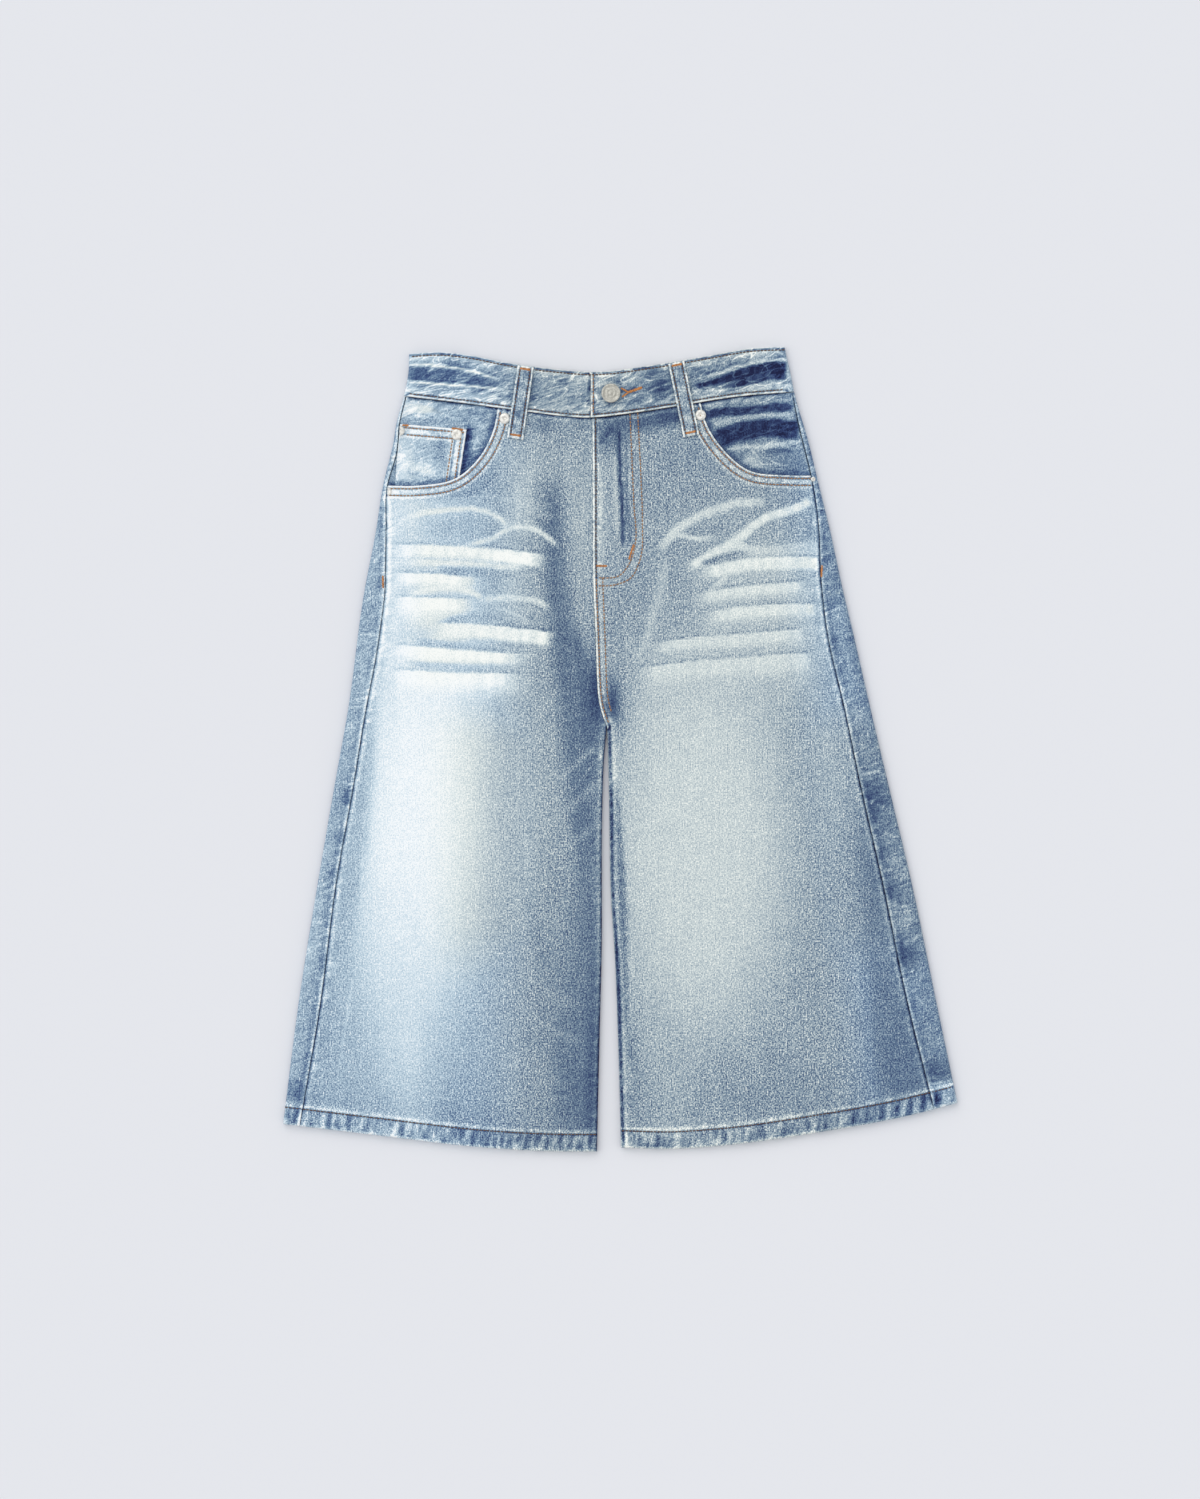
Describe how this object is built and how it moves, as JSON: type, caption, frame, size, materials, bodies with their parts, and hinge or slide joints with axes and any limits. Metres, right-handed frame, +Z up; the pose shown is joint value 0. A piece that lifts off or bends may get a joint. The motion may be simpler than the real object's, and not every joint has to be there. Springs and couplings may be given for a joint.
{
  "type": "wide-leg knee-length jeans",
  "caption": "Wide-leg, knee-length jeans in light washed denim, laid flat with the front upwards, with a waistband and belt loops, a buttoned fly front, curved pockets and turned-up hems.",
  "frame": {"origin": "centre of the bounding box, on the surface that the jeans lie on", "axes": "+Y towards the waist along the garment's length, +Z up out of the front, so the wearer's right leg is on the -X side"},
  "size_m": [0.6071, 0.7241, 0.014],
  "materials": {
    "washed_denim": "light stone-washed indigo denim, abraded to white at the thighs",
    "dark_denim": "less washed indigo denim with dark bands",
    "nickel": "satin nickel",
    "topstitch": "tan and brown polyester topstitching thread with orange bartacks"
  },
  "bodies": {
    "root": {"front_right": "washed_denim", "front_left": "washed_denim", "back_right": "washed_denim", "back_left": "washed_denim", "yoke_right": "washed_denim", "yoke_left": "washed_denim", "pocket_facing_right": "dark_denim", "pocket_facing_left": "dark_denim", "coin_pocket": "washed_denim", "back_pocket_right": "washed_denim", "back_pocket_left": "washed_denim", "waistband": "dark_denim", "belt_loop_front_right": "washed_denim", "belt_loop_front_left": "washed_denim", "belt_loop_back_right": "washed_denim", "belt_loop_back_centre": "washed_denim", "belt_loop_back_left": "washed_denim", "button": "nickel", "rivet_coin_inner": "nickel", "rivet_coin_outer": "nickel", "rivet_mouth_top_right": "nickel", "rivet_mouth_foot_right": "nickel", "rivet_mouth_top_left": "nickel", "rivet_mouth_foot_left": "nickel"}
  },
  "joints": []
}
